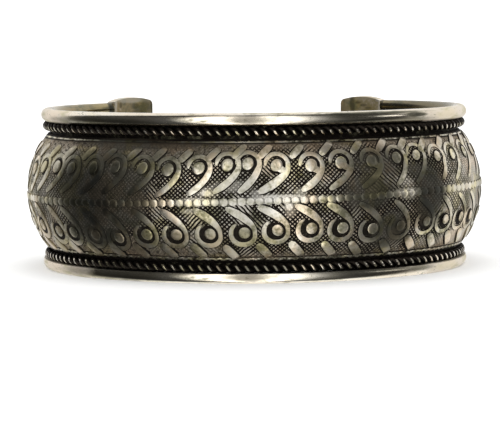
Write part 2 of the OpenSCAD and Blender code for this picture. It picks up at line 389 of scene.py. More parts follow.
def move(piece, *by):
    edit(piece)
    bpy.ops.transform.translate(value=by)
    leave_edit()


def stretch(piece, *by):
    """Stretches a piece's mesh about the origin."""
    edit(piece)
    bpy.ops.transform.resize(value=by, center_override=(0, 0, 0))
    leave_edit()


def face_outwards(piece, close=False):
    """Turns a piece's faces outwards; close fills its open ends first."""
    edit(piece)
    if close:
        bpy.ops.mesh.fill_holes(sides=0)
    bpy.ops.mesh.normals_make_consistent(inside=False)
    leave_edit()


def apply_modifier(piece, kind, **settings):
    make_active(piece)
    modifier = piece.modifiers.new(kind.lower(), kind)
    for key, value in settings.items():
        setattr(modifier, key, value)
    bpy.ops.object.modifier_apply(modifier=modifier.name)


def circle(sides, radius, place, fill="NGON", turn=(0, 0, 0)):
    """A circle with its place and turn in its mesh."""
    deselect_all()
    bpy.ops.mesh.primitive_circle_add(
        vertices=sides, radius=radius, fill_type=fill, location=place, rotation=turn)
    bpy.ops.object.transform_apply(location=True, rotation=True, scale=True)
    return bpy.context.object


def one_vertex(place):
    """Starts an outline: an object of one vertex, left in edit mode with it selected."""
    deselect_all()
    bpy.ops.mesh.primitive_plane_add(size=MM)
    bpy.ops.object.mode_set(mode="EDIT")
    bpy.ops.mesh.select_all(action="SELECT")
    bpy.ops.mesh.merge(type="CENTER")
    bpy.ops.transform.translate(value=place)
    return bpy.context.object


def stroke(out, up):
    """Draws an outline on from its selected vertex; out is against Y."""
    bpy.ops.mesh.extrude_region_move(TRANSFORM_OT_translate={"value": (0, -out, up)})


def sweep_arc(centre, angle, steps):
    """Draws an outline on along an arc; centre is (out, up), angle rises anticlockwise
    with out to the right."""
    bpy.ops.mesh.spin(steps=steps, angle=angle, center=(0, -centre[0], centre[1]),
                      axis=(1, 0, 0))


def draw_out(piece, first, last, spacing):
    """Extrudes a closed outline at X = 0 from first to last along X, and closes it."""
    edit(piece)
    bpy.ops.transform.translate(value=(first, 0, 0))
    steps = round((last - first) / spacing)
    bpy.ops.mesh.extrude_repeat(steps=steps, offset=((last - first) / steps, 0, 0))
    face_outwards(piece, close=True)


def join(pieces, name):
    deselect_all()
    for piece in pieces:
        piece.select_set(True)
    bpy.context.view_layer.objects.active = pieces[0]
    bpy.ops.object.join()
    pieces[0].name = name
    return pieces[0]


def linked(piece):
    """Puts a new object into the scene."""
    bpy.context.scene.collection.objects.link(piece)
    return piece


def copy_of(piece, turn_and_place=Matrix.Identity(4)):
    """A copy with its own mesh, moved by a matrix."""
    twin = piece.copy()
    twin.data = piece.data.copy()
    twin.data.transform(turn_and_place)
    return linked(twin)


def remove(piece):
    bpy.data.objects.remove(piece)


def evenly(first, last, count):
    """Places from first to last at even steps."""
    return [first + (last - first) * i / count for i in range(count + 1)]


# The wrist line

def wrist_arcs():
    """Arcs of the hollow going round anticlockwise from the middle of the back:
    (first direction, last direction, centre, radius)."""
    sizes = bpy.context.scene.cuff_sizes
    side = sizes.half_width - sizes.side_radius
    radius = ((side ** 2 + sizes.half_depth ** 2 - sizes.side_radius ** 2)
              / (2 * (sizes.half_depth - sizes.side_radius)))
    centre = radius - sizes.half_depth
    turn = math.atan2(centre, side)
    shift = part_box("band")[0].y + sizes.half_depth + sizes.crown_out
    back = (0, shift - centre)
    front = (0, shift + centre)
    return (
        (math.pi / 2, math.pi - turn, back, radius),
        (math.pi - turn, math.pi + turn, (-side, shift), sizes.side_radius),
        (math.pi + turn, FULL_TURN - turn, front, radius),
        (FULL_TURN - turn, FULL_TURN + turn, (side, shift), sizes.side_radius),
        (FULL_TURN + turn, FULL_TURN + math.pi / 2, back, radius),
    )


def along_line(direction, out):
    """Distance from the middle of the front to a direction, on the line this far out."""
    total = 0
    before = 0
    for first, last, _, radius in wrist_arcs():
        total += (last - first) * (radius + out)
        before += (min(max(direction, first), last) - first) * (radius + out)
    return before - total / 2


def seams():
    """Directions of the seams where the band meets the end blocks."""
    sizes = bpy.context.scene.cuff_sizes
    radius = wrist_arcs()[0][3]
    block = sizes.block_length / radius
    left = math.pi - math.acos(sizes.left_end / radius) + block
    right = FULL_TURN + math.acos(sizes.right_end / radius) - block
    spare = sizes.gap / radius
    return left + spare, right - spare


def reach(out, unit=1):
    """Distances of both seams from the middle of the front, on the line this far out."""
    return [along_line(seam, out) / unit for seam in seams()]


def bend(piece, axis, *by):
    """Moves a flat piece, then bends it along the line that is being drawn."""
    leave_edit()
    bpy.ops.object.convert(target="CURVE")
    line = bpy.context.object
    move(piece, *by)
    apply_modifier(piece, "CURVE", object=line, deform_axis=axis)
    remove(line)


def wrap_round_wrist(piece, out):
    """Bends a flat piece, whose Y = 0 stands this far out, round the wrist."""
    arcs = wrist_arcs()
    start, _, centre, radius = arcs[0]
    one_vertex((0, centre[1] + radius + out, 0))
    for first, last, centre, _ in arcs:
        bpy.ops.mesh.spin(steps=round(math.degrees(last - first)), angle=last - first,
                          center=(*centre, 0), axis=(0, 0, -1))
    bend(piece, "POS_X", -along_line(start, out), 0, 0)


def dome_circle():
    """Centre (out, up), radius and half angle of the dome's outer face."""
    sizes = bpy.context.scene.cuff_sizes
    half = (sizes.dome_top - sizes.dome_bottom) / 2
    rise = sizes.crown_out - sizes.edge_out
    radius = (half ** 2 + rise ** 2) / (2 * rise)
    middle = (sizes.dome_top + sizes.dome_bottom) / 2
    return (sizes.crown_out - radius, middle), radius, math.asin(half / radius)


def wrap_over_dome(piece):
    """Bends a flat piece over the dome, Z running up over the curve from its middle, and
    then round the wrist."""
    (out, middle), radius, half_angle = dome_circle()
    one_vertex((0, -out - radius * math.cos(half_angle),
                middle - radius * math.sin(half_angle)))
    sweep_arc((out, middle), 2 * half_angle, steps=80)
    bend(piece, "POS_Z", 0, 0, radius * half_angle)
    move(piece, 0, LINE_OUT, 0)
    wrap_round_wrist(piece, LINE_OUT)


def chart_uv(piece, chart=lambda place: (place.x, place.z)):
    """Keeps the place of each point on a chart as UV, in metres."""
    mesh = piece.data
    layer = mesh.uv_layers.get("chart") or mesh.uv_layers.new(name="chart")
    for loop in mesh.loops:
        layer.data[loop.index].uv = chart(mesh.vertices[loop.vertex_index].co)


def keep_values(piece, name, value_at):
    """Keeps a value for each point, from its place, as an attribute."""
    kept = piece.data.attributes.new(name, "FLOAT", "POINT")
    for point, vertex in zip(kept.data, piece.data.vertices):
        point.value = value_at(vertex.co)


def finish(piece, name, materials, replaced=None, smooth=math.radians(40)):
    """Names, shades and paints a finished piece, attaches it to the root body and hides the CAD
    part that it replaces.
    """
    piece.name = name
    piece.data.name = name
    make_active(piece)
    bpy.ops.object.shade_smooth_by_angle(angle=smooth)
    for material in materials:
        piece.data.materials.append(material)
    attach(piece, "root")
    if replaced:
        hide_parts(replaced)


# Node helpers

def rgba(values):
    return (*values, 1.0)


class Wires:
    """Short ways to add and join nodes of one tree."""

    def __init__(self, tree, start=None, end=None):
        self.tree = tree
        self.start = start
        self.end = end

    def node(self, kind, links=(), **settings):
        node = self.tree.nodes.new("ShaderNode" + kind)
        for key, value in settings.items():
            setattr(node, key, value)
        for socket, value in dict(links).items():
            self.set(node, socket, value)
        return node

    def set(self, node, socket, value):
        if isinstance(value, bpy.types.NodeSocket):
            self.tree.links.new(value, node.inputs[socket])
        else:
            node.inputs[socket].default_value = value

    def math(self, operation, *values, clamp=False):
        node = self.node("Math", enumerate(values), operation=operation, use_clamp=clamp)
        return node.outputs[0]

    def scaled(self, value, factor, plus=0.0, clamp=False):
        """The value times a factor, and more added to it."""
        return self.math("MULTIPLY_ADD", value, factor, plus, clamp=clamp)

    def most(self, first, second):
        return self.math("MAXIMUM", first, second)

    def vector(self, operation, first, second=(0, 0, 0)):
        node = self.node("VectorMath", {0: first, 1: second}, operation=operation)
        return node.outputs["Value" if operation == "LENGTH" else "Vector"]

    def split(self, vector):
        return self.node("SeparateXYZ", {0: vector}).outputs

    def chart(self):
        return self.node("UVMap", uv_map="chart").outputs["UV"]

    def attribute(self, name):
        return self.node("Attribute", attribute_name=name).outputs["Fac"]

    def group(self, tree, links):
        return self.node("Group", links, node_tree=tree).outputs

    def patches(self, name, chart):
        return self.group(patch_group(name), {"Chart": chart})

    def noise(self, place, scale, detail=3.0, rough=0.55, distortion=0.0):
        return self.node("TexNoise", {
            "Vector": place, "Scale": scale, "Detail": detail, "Roughness": rough,
            "Distortion": distortion}).outputs["Fac"]

    def step(self, value, low, high, to_low=0.0, to_high=1.0):
        """Goes smoothly from to_low to to_high as the value goes from low to high."""
        return self.node("MapRange", {
            "Value": value, "From Min": low, "From Max": high, "To Min": to_low,
            "To Max": to_high}, interpolation_type="SMOOTHSTEP").outputs["Result"]

    def ragged(self, chart):
        """Noise that frays the edges of patches."""
        return self.noise(chart, 170.0, 4.0, 0.65)

    def oval(self, chart, ragged, centre, half, strength, soft=0.45):
        """An oval patch on the chart, in millimetres, with a ragged edge."""
        away = self.vector("SUBTRACT", chart, (centre[0] * MM, centre[1] * MM, 0))
        away = self.vector("MULTIPLY", away, (1 / (half[0] * MM), 1 / (half[1] * MM), 0))
        away = self.scaled(ragged, 1.1, self.vector("LENGTH", away))
        return self.step(away, 1.55 + soft, 1.55 - soft, 0.0, strength)

    def mix(self, factor, first, second, blend="MIX"):
        return self.node("Mix", {0: factor, 6: first, 7: second}, data_type="RGBA",
                         blend_type=blend).outputs[2]

    def give(self, **values):
        """Joins the values that a group gives to its outputs."""
        for name, value in values.items():
            self.tree.links.new(value, self.end.inputs[name])
        return self.tree


def new_group(name, outputs, **inputs):
    """A shader node group. Its outputs are plain values, and so are its inputs, given with
    their defaults, but where the default is None the input is a vector."""
    tree = bpy.data.node_groups.new(name, "ShaderNodeTree")
    for way, names in (("INPUT", inputs), ("OUTPUT", outputs)):
        for label in names:
            default = inputs.get(label, 0.0)
            kind = "NodeSocketFloat" if default is not None else "NodeSocketVector"
            socket = tree.interface.new_socket(name=label, in_out=way, socket_type=kind)
            if default is not None:
                socket.default_value = default
    return Wires(tree, tree.nodes.new("NodeGroupInput"), tree.nodes.new("NodeGroupOutput"))


def hatch_group():
    """Cross-hatched ground: two sets of slanting cuts on the chart, each of them faint in
    places. Cuts is 1 in a cut."""
    name = "cross_hatch"
    if name in bpy.data.node_groups:
        return bpy.data.node_groups[name]
    pitch = bpy.context.scene.cuff_chasing.hatch_pitch
    wires = new_group(name, ("Cuts",), Chart=None)
    chart = wires.start.outputs["Chart"]
    along, up, _ = wires.split(chart)
    wobble = wires.noise(chart, 520.0, 3.0, 0.65)
    drift = wires.noise(chart, 90.0, 1.0)
    cuts = []
    for sign, scale, offset in ((1, 150.0, 0.0), (-1, 170.0, 3.1)):
        place = wires.scaled(wires.scaled(up, sign, along), 1 / (pitch * math.sqrt(2)))
        place = wires.scaled(wobble, 0.8, place)
        place = wires.scaled(drift, 2.2 * sign, place)
        width = wires.scaled(wires.noise(chart, 900.0 + 40 * sign), 0.3, 0.05)
        cut = wires.step(wires.math("PINGPONG", place, 0.5), width,
                         wires.math("ADD", width, 0.11), 1.0, 0.0)
        moved = wires.vector("ADD", chart, (offset, offset, 0))
        patch = wires.step(wires.noise(moved, scale, 1.0), 0.34, 0.41, 0.15, 1.0)
        cuts.append(wires.scaled(cut, patch))
    return wires.give(Cuts=wires.most(*cuts))


def tarnish_group():
    """Old silver: Rubbed and Tarnished are mottled masks, Pits a mask of small specks and
    Grain a fine height."""
    name = "old_silver"
    if name in bpy.data.node_groups:
        return bpy.data.node_groups[name]
    wires = new_group(name, ("Rubbed", "Tarnished", "Grain", "Pits"), Place=None, Patch=4.0,
                      Wear=0.5)
    place, patch, wear = (wires.start.outputs[key] for key in ("Place", "Patch", "Wear"))
    broad = wires.noise(place, wires.math("DIVIDE", 1000.0, patch), 3.0, 0.6, 0.4)
    fine = wires.noise(place, 1900.0, 3.0, 0.65)
    speck = wires.noise(place, 3600.0, 2.0, 0.7)
    blend = wires.scaled(fine, 0.45, wires.scaled(broad, 0.75))
    return wires.give(
        Rubbed=wires.step(wires.scaled(wear, 0.7, blend), 0.79, 1.09),
        Tarnished=wires.step(blend, 0.66, 0.44),
        Grain=wires.scaled(speck, 0.5, fine),
        Pits=wires.scaled(wires.step(speck, 0.6, 0.68), wires.step(broad, 0.45, 0.6)))


def patch_group(name):
    """Patches from a table: Strength is how strong they are, Edge rises at the dome's
    edges."""
    if name in bpy.data.node_groups:
        return bpy.data.node_groups[name]
    wires = new_group(name, ("Strength", "Edge"), Chart=None)
    chart = wires.start.outputs["Chart"]
    ragged = wires.ragged(chart)
    strength = 0.0
    for along, up, half_along, half_up, most in PATCHES[name]:
        strength = wires.most(strength, wires.oval(
            chart, ragged, (along, up), (half_along, half_up), most))
    rise = wires.scaled(ragged, 2.0 * MM, wires.math("ABSOLUTE", wires.split(chart)[1]))
    return wires.give(Strength=strength, Edge=wires.step(rise, 7.4 * MM, 10.2 * MM))


def silver_material(name, patch=4.0, wear=0.5, base="worn", high="bright", low="olive",
                    rough=(0.25, 0.42), bump=0.25, stains="dome_stains", stain=0.0, edge=0.0,
                    oxide_and_shade=None, inner=False, pits=0.0, streak=None, film=1.0, shine=None,
                    matte=None, dome=False):
    """Oxidised silver. patch is the size of its mottling in millimetres; base, high and low are
    its colours, plain, rubbed and tarnished; rough is its roughness where rubbed and elsewhere;
    stain and edge are the strengths of its stains, which on the dome and rims are partly painted
    dark reflections, and of the brown at the dome's edges; oxide_and_shade makes the mask of what
    stays black and its depth, which is oxide in the recesses and also painted shade on the rims
    and twisted wires; inner browns the side to the wrist; streak draws the mottling out along the
    piece; film is how strongly patches are tinted; shine is a table of places rubbed bright,
    which on the dome and blocks are partly painted highlights; matte gives how far to the left
    and to the right of the front, in millimetres, a dull beige film begins; dome is for the
    chased dome, whose stains veil the oxide and whose middle is a cooler grey, darkened as a
    painted dark reflection."""
    if name in bpy.data.materials:
        return bpy.data.materials[name]

    def named(key):
        return rgba(getattr(bpy.context.scene.cuff_colours, key))

    material = bpy.data.materials.new(name)
    material.use_nodes = True
    wires = Wires(material.node_tree)
    shader = material.node_tree.nodes["Principled BSDF"]
    chart = wires.chart()
    place = wires.node("TexCoord").outputs["Object"]
    if streak:
        depth = wires.scaled(wires.attribute("inward"), MM)
        place = wires.vector("ADD", wires.vector("MULTIPLY", chart, (1 / streak, 1.0, 0.0)),
                             wires.node("CombineXYZ", {2: depth}).outputs[0])
    silver = wires.group(tarnish_group(), {"Place": place, "Patch": patch, "Wear": wear})
    grain, rubbed_and_highlights, tarnished = (silver[key] for key in ("Grain", "Rubbed", "Tarnished"))
    # Shine tables add rubbed places and, on the dome and blocks, painted highlights.
    if shine:
        rubbed_and_highlights = wires.most(rubbed_and_highlights, wires.patches(shine, chart)["Strength"])
    shade = wires.mix(tarnished, named(base), named(low))
    # Dark patches: stains, and on the dome and rims also painted dark reflections.
    zone = wires.patches(stains, chart)
    dark = wires.scaled(zone["Strength"], stain)
    rubbed_and_highlights = wires.scaled(rubbed_and_highlights, wires.scaled(dark, -1.0, 1.0))
    shade = wires.mix(rubbed_and_highlights, shade, named(high))
    if edge:
        shade = wires.mix(wires.scaled(zone["Edge"], edge), shade, named("purple"))
    dull = 0.0
    if matte:
        dull = ends(wires, chart, *matte)
        shade = wires.mix(dull, shade, wires.mix(tarnished, named("beige"), named("worn")))
    if inner:
        inward = wires.step(wires.scaled(grain, 0.8, wires.attribute("inward")), 0.75, 1.2)
        shade = wires.mix(inward, shade, wires.mix(tarnished, named("brown"), named("olive")))
        dull = wires.scaled(dull, wires.scaled(inward, -1.0, 1.0))
    shade = wires.mix(dark, shade, named("stain"))
    if pits:
        shade = wires.mix(wires.scaled(silver["Pits"], pits), shade, named("olive"))
    # Thin films tint the metal in patches.
    hue = wires.noise(place, 190.0, 3.0, 0.6)
    tint = wires.mix(wires.step(hue, 0.38, 0.48, film, 0.0), rgba((1, 1, 1)), named("khaki"))
    tint = wires.mix(wires.step(hue, 0.5, 0.6, 0.0, film), tint, named("rose"))
    # The middle of the dome is tinted cooler and darkened: a painted dark reflection between its
    # two highlights.
    if dome:
        middle = wires.oval(chart, wires.ragged(chart), *COOL_DARK_MIDDLE)
        tint = wires.mix(middle, tint, named("cool_dark_reflection"))
    shade = wires.mix(1.0, shade, tint, blend="MULTIPLY")
    roughness = wires.step(rubbed_and_highlights, 0.0, 1.0, rough[1], rough[0])
    height = wires.scaled(grain, 0.03)
    # Black in the recesses is oxide; on the rims and twisted wires it is also painted shade.
    if oxide_and_shade:
        mask, depth = oxide_and_shade(wires, grain)
        veil = wires.most(dull, wires.step(dark, 0.45, 0.9)) if dome else dull
        mask = wires.scaled(mask, wires.scaled(veil, -0.6, 1.0))
        shade = wires.mix(mask, shade, named("recess"))
        roughness = wires.scaled(mask, 0.3, roughness, clamp=True)
        height = wires.scaled(mask, -depth, height)
    relief = wires.node("Bump", {"Height": height, "Distance": MM, "Strength": bump})
    wires.set(shader, "Base Color", shade)
    wires.set(shader, "Roughness", wires.scaled(dull, 0.25, roughness))
    wires.set(shader, "Metallic", wires.scaled(dull, -0.35, 1.0))
    wires.set(shader, "Normal", relief.outputs["Normal"])
    return material


def ends(wires, chart, left, right):
    """1 past the two given distances from the middle of the front."""
    along = wires.split(chart)[0]
    ragged = wires.scaled(wires.noise(chart, 500.0, 3.0), 3 * MM)
    return wires.most(*(
        wires.step(wires.scaled(along, side, ragged), past * MM, (past + 2.5) * MM)
        for side, past in ((-1, left), (1, right))))


def hatched(wires, grain):
    """Oxide in the hatched cuts, which give way to specks near the dome's edges and fade where it
    is rubbed and where a highlight is painted, and along both borders."""
    chart = wires.chart()
    along, rise, _ = wires.split(chart)
    cuts = wires.group(hatch_group(), {"Chart": chart})["Cuts"]
    ragged = wires.scaled(wires.noise(chart, 240.0, 2.0), 5.0 * MM)
    away = wires.math("ADD", wires.math("ABSOLUTE", rise), ragged)
    limit = wires.step(along, -9 * MM, 1 * MM, 9.2 * MM, 11.2 * MM)
    edge = wires.step(wires.math("SUBTRACT", away, limit), -0.8 * MM, 1.0 * MM)
    to_side = wires.step(wires.math("ABSOLUTE", along), 30 * MM, 40 * MM, 1.0, 0.6)
    # Where a highlight is painted, and where the dome is rubbed, the cuts fade.
    shine = wires.patches("dome_shine", chart)["Strength"]
    cuts = wires.scaled(wires.scaled(cuts, to_side), wires.scaled(shine, -0.85, 1.0))
    specks = wires.step(wires.noise(chart, 2100.0, 2.0, 0.6), 0.5, 0.6, 0.0, 0.75)
    worn_cuts = wires.most(wires.scaled(cuts, 0.4), specks)
    cuts = wires.node("Mix", {0: edge, 2: cuts, 3: worn_cuts}).outputs[0]
    for middle, half in DARK_LINES:
        off = wires.math("ABSOLUTE", wires.math("SUBTRACT", rise, middle * MM))
        cuts = wires.most(cuts, wires.step(off, half * MM, half * MM * 0.4))
    return cuts, 0.12


def below(edge, soft=0.03, ragged=0.04):
    """Oxide where the "height" attribute is under an edge; on the twisted wires that attribute is
    the lit crest, and the black off it is painted shade.
    """
    def oxide_and_shade(wires, grain):
        level = wires.scaled(grain, -ragged, wires.attribute("height"))
        level = wires.math("ADD", level, ragged * 0.7)
        return wires.step(level, edge - soft, edge + soft, 1.0, 0.0), 0.0
    return oxide_and_shade


def under(side):
    """Painted shade, with oxide, on the side of a rim that lies next to its twisted wire: side is
    1 where that is its upper side and -1 where it is its lower."""
    low, high = (0.92, 1.1) if side < 0 else (0.6, 0.74)

    def oxide_and_shade(wires, grain):
        rise = wires.scaled(wires.split(wires.chart())[1], side)
        rise = wires.scaled(grain, 0.2 * MM, rise)
        return wires.step(rise, low * MM, high * MM, 0.0, 0.95), 0.0
    return oxide_and_shade


# Raised work on the dome

def relief_curve(name, lines, steps=4):
    """Raised bands: each line is a list of (along, up, half width) in millimetres."""
    curves = []
    for kind in ("2D", "3D"):
        curve = bpy.data.curves.new(name, "CURVE")
        curve.dimensions = kind
        curves.append(linked(bpy.data.objects.new(name, curve)))
    profile, piece = curves
    half = BAND_PROFILE
    points = [*half, (0.0, BAND_HEIGHT), *((-x, y) for x, y in reversed(half))]
    outline = profile.data.splines.new("POLY")
    outline.points.add(len(points) - 1)
    for point, (across, height) in zip(outline.points, points):
        point.co = (across * MM, height * MM, 0, 1)
    outline.use_cyclic_u = True
    curve = piece.data
    curve.twist_mode = "Z_UP"
    curve.resolution_u = steps
    curve.bevel_mode = "OBJECT"
    curve.bevel_object = profile
    curve.use_fill_caps = True
    for line in lines:
        spline = curve.splines.new("BEZIER")
        spline.bezier_points.add(len(line) - 1)
        for point, (along, up, half_width) in zip(spline.bezier_points, line):
            point.co = (along * MM, up * MM, 0)
            point.radius = half_width
            point.handle_left_type = point.handle_right_type = "AUTO"
    make_active(piece)
    bpy.ops.object.convert(target="MESH")
    piece = bpy.context.object
    remove(profile)
    face_outwards(piece)
    return piece


def turned(sides, steps, middle=(0, 0)):
    """A round piece drawn up in steps of (radius, height), about a middle in XY."""
    radius, height = steps[0]
    piece = circle(sides, radius, (*middle, height))
    edit(piece)
    for next_radius, next_height in steps[1:]:
        bpy.ops.mesh.extrude_region_move(
            TRANSFORM_OT_translate={"value": (0, 0, next_height - height)})
        ratio = next_radius / radius
        bpy.ops.transform.resize(value=(ratio, ratio, 1), center_override=(*middle, 0))
        radius, height = next_radius, next_height
    face_outwards(piece)
    return piece


def raise_on_dome(piece, name, materials=None):
    """Lays work that is drawn in XY and raised along Z on the dome's ground; its steep
    sides are black unless it brings its own material."""
    depth = bpy.context.scene.cuff_chasing.ground_depth
    piece.data.transform(
        Matrix.Translation((0, depth, 0)) @ Matrix.Rotation(math.pi / 2, 4, "X"))
    if not materials:
        materials = (
            silver_material("raised_silver", dome=True, patch=3.2, stain=1.0, edge=0.5,
                            rough=(0.3, 0.46), oxide_and_shade=below(0.05), pits=0.45, bump=0.45,
                            shine="dome_shine"),
            silver_material("blackened", dome=True, base="recess", high="brown",
                            low="recess", wear=0.1, rough=(0.5, 0.7), film=0.0, stain=0.7,
                            shine="worn_sides"))
        for polygon in piece.data.polygons:
            polygon.material_index = int(polygon.normal.y > STEEP)
    chart_uv(piece)
    keep_values(piece, "height", lambda place: (depth - place.y) / MM)
    wrap_over_dome(piece)
    finish(piece, name, materials)


def slim(along):
    """How much narrower the work is drawn towards the right of the front."""
    return 1.0 - 0.22 * max(0.0, min(1.0, (along - 20) / 8))


def shifted(row, by):
    """A row of a scroll chart or a leaf chart, moved along."""
    moved = list(row)
    for column in (0, 2)[:len(row) // 2]:
        moved[column] += by
    return tuple(moved)


def carried_on(chart, margin):
    """A chart's rows with even repeats of its end rows, to a margin from both seams."""
    first, last = reach(LINE_OUT, MM)
    rows = list(chart)
    while rows[0][0] - EVEN_PITCH > first + margin:
        rows.insert(0, shifted(rows[0], -EVEN_PITCH))
    while rows[-1][0] + EVEN_PITCH < last - margin:
        rows.append(shifted(rows[-1], EVEN_PITCH))
    return rows


def scroll_line(row, curl, bulge):
    """Middle line of one scroll: from its foot, bulging to one side, and round."""
    boss_along, boss_up, foot_along, foot_up, half_width = row
    share = slim(boss_along)
    ring = [(boss_along + right, boss_up + up, half * share) for right, up, half in curl]
    side_along, side_up, _ = ring[0]
    tail = [(foot_along + (side_along - foot_along) * along + bulge[0] * bulged,
             foot_up + (side_up - foot_up) * along + bulge[1] * bulged,
             half_width * width) for along, width, bulged in SCROLL_TAIL]
    return tail + ring


def stem_height(along):
    """Height of the stem on the chart from its table; both are in millimetres."""
    for (left, low), (right, high) in zip(STEM_HEIGHTS, STEM_HEIGHTS[1:]):
        if left <= along <= right:
            return low + (high - low) * (along - left) / (right - left)
    raise ValueError("the stem's table is too short")


# Operators

class CUFF_OT_camera(bpy.types.Operator):
    """Sets the camera where the photograph was taken, just above the floor"""
    bl_idname = "cuff.camera"
    bl_label = "Camera"

    def execute(self, context):
        studio = context.scene.cuff_studio
        side_centre = wrist_arcs()[1][2]
        target = Vector((0, side_centre[1], studio.target_height))
        back = Vector((0, -math.cos(studio.elevation), math.sin(studio.elevation)))
        data = bpy.data.cameras.new("camera")
        data.lens = studio.focal_pixels * data.sensor_width / PHOTO_WIDTH
        data.clip_start = 10 * MM
        camera = linked(bpy.data.objects.new("camera", data))
        camera.location = target + back * studio.distance
        pan = math.atan(studio.target_right / studio.focal_pixels)
        tilt = math.atan(studio.target_up / studio.focal_pixels)
        aim = (-back).to_track_quat("-Z", "Y") @ Quaternion((0, 0, 1), -studio.roll)
        aim = aim @ Quaternion((0, 1, 0), pan) @ Quaternion((1, 0, 0), -tilt)
        camera.rotation_mode = "QUATERNION"
        camera.rotation_quaternion = aim
        context.scene.camera = camera
        return {"FINISHED"}


class CUFF_OT_band(bpy.types.Operator):
    """Draws the band's section, sweeps it and wraps it round the wrist"""
    bl_idname = "cuff.band"
    bl_label = "Band"

    def execute(self, context):
        sizes = context.scene.cuff_sizes
        (out, middle), radius, _ = dome_circle()
        bottom, top = (corner.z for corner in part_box("band"))
        ground = radius - context.scene.cuff_chasing.ground_depth
        ground_angle = math.asin((sizes.dome_top - middle) / ground)
        edge = out + ground * math.cos(ground_angle)
        wall = sizes.margin_wall
        inner_half = (sizes.dome_top - sizes.dome_bottom) / 2 - wall
        inner_rise = sizes.crown_out - sizes.crown_wall
        inner = (inner_half ** 2 + inner_rise ** 2) / (2 * inner_rise)
        piece = one_vertex((0, -wall, bottom))
        stroke(0, sizes.dome_bottom - bottom)
        stroke(edge - wall, 0)
        sweep_arc((out, middle), 2 * ground_angle, steps=72)
        stroke(wall - edge, 0)
        stroke(0, top - sizes.solder_height - sizes.dome_top)
        stroke(sizes.solder_out, 0)
        stroke(0, sizes.solder_height)
        stroke(-wall - sizes.solder_out, 0)
        stroke(0, middle + inner_half - top)
        sweep_arc((inner_rise - inner, middle), -2 * math.asin(inner_half / inner), steps=40)
        stroke(0, bottom - middle + inner_half)
        stroke(wall, 0)
        bpy.ops.mesh.select_all(action="SELECT")
        bpy.ops.mesh.remove_doubles(threshold=2 * MERGE)
        draw_out(piece, *reach(LINE_OUT), spacing=0.5 * MM)
        chart_uv(piece)
        self.paint(piece, middle, ground, edge, radius)
        move(piece, 0, LINE_OUT, 0)
        wrap_round_wrist(piece, LINE_OUT)
        finish(piece, "chased_band_shell", (
            silver_material("chased_ground", dome=True, wear=0.45, base="ground",
                            rough=(0.35, 0.5), stain=0.9, edge=0.8, oxide_and_shade=hatched, bump=0.6,
                            shine="dome_shine"),
            silver_material("dark_margin", base="recess", high="olive", low="recess",
                            wear=0.3, rough=(0.5, 0.75), film=0.0),
            silver_material("inside_silver", base="brown", high="worn", patch=6.0, wear=0.4,
                            rough=(0.35, 0.55), stain=0.9, stains="inside_stains"),
        ), "band")
        return {"FINISHED"}

    def paint(self, piece, middle, ground, edge, radius):
        """The chased face, the margins and the inside each have a material; on the
        chased face the chart's height runs over the curve."""
        mesh = piece.data
        layer = mesh.uv_layers["chart"]
        for polygon in mesh.polygons:
            facing = polygon.normal.y
            chased = facing < -SIDEWAYS and -polygon.center.y > edge + 0.05 * MM
            polygon.material_index = 0 if chased else 2 if facing > SIDEWAYS else 1
            if chased:
                for index in polygon.loop_indices:
                    rise = mesh.vertices[mesh.loops[index].vertex_index].co.z - middle
                    rise = max(-1.0, min(1.0, rise / ground))
                    layer.data[index].uv.y = math.asin(rise) * radius


class CUFF_OT_scrolls(bpy.types.Operator):
    """Raises the two rows of scrolls"""
    bl_idname = "cuff.scrolls"
    bl_label = "Scrolls"

    def execute(self, context):
        for name, chart, curl, bulge in (
                ("upper_scrolls", UPPER_SCROLLS, UPPER_CURL, (0.2, -0.2)),
                ("lower_scrolls", LOWER_SCROLLS, LOWER_CURL, (0.12, 0.3))):
            rows = carried_on(chart, SCROLL_MARGIN)
            lines = [scroll_line(row, curl, bulge) for row in rows]
            lines += [[(row[0] + right, row[1] + up, half) for right, up, half in NECK]
                      for row in rows if row[0] in NECKED_BOSSES]
            raise_on_dome(relief_curve(name, lines), name)
        return {"FINISHED"}


class CUFF_OT_bosses(bpy.types.Operator):
    """Raises a boss in a sunk ring inside each scroll, all copied from one"""
    bl_idname = "cuff.bosses"
    bl_label = "Bosses"

    def execute(self, context):
        chasing = context.scene.cuff_chasing
        draw = random.Random(7)
        half = chasing.boss_half
        rise = chasing.boss_height
        for name, chart, stretched, lean, share, middle in (
                ("upper_bosses", UPPER_SCROLLS, (0.95, 1.08), -0.45, 0.93, (0.2, 0.12)),
                ("lower_bosses", LOWER_SCROLLS, (0.94, 0.97), 0.3, 1.12, (-0.3, -0.1))):
            boss = turned(20, ((half, SUNK), *(
                (half * across, rise * up) for across, up in BOSS_PROFILE)))
            sunk = chasing.recess_half * share
            ring = turned(20, ((sunk, SUNK), *(
                (sunk * part, chasing.recess_height) for part in (0.99, 0.8, 0.6, 0.4, 0.2))),
                (middle[0] * MM, middle[1] * MM))
            model = join([boss, ring], "boss")
            copies = []
            for row in carried_on(chart, SCROLL_MARGIN):
                turn = Matrix.Rotation(lean + draw.uniform(-0.25, 0.25), 4, "Z")
                wide = stretched[0] * draw.uniform(0.94, 1.04) * slim(row[0])
                size = Matrix.Diagonal((wide, stretched[1] * (1 + slim(row[0])) / 2, 1, 1))
                place = Matrix.Translation((row[0] * MM, row[1] * MM, 0))
                copies.append(copy_of(model, place @ turn @ size))
            remove(model)
            raise_on_dome(join(copies, name), name)
        return {"FINISHED"}


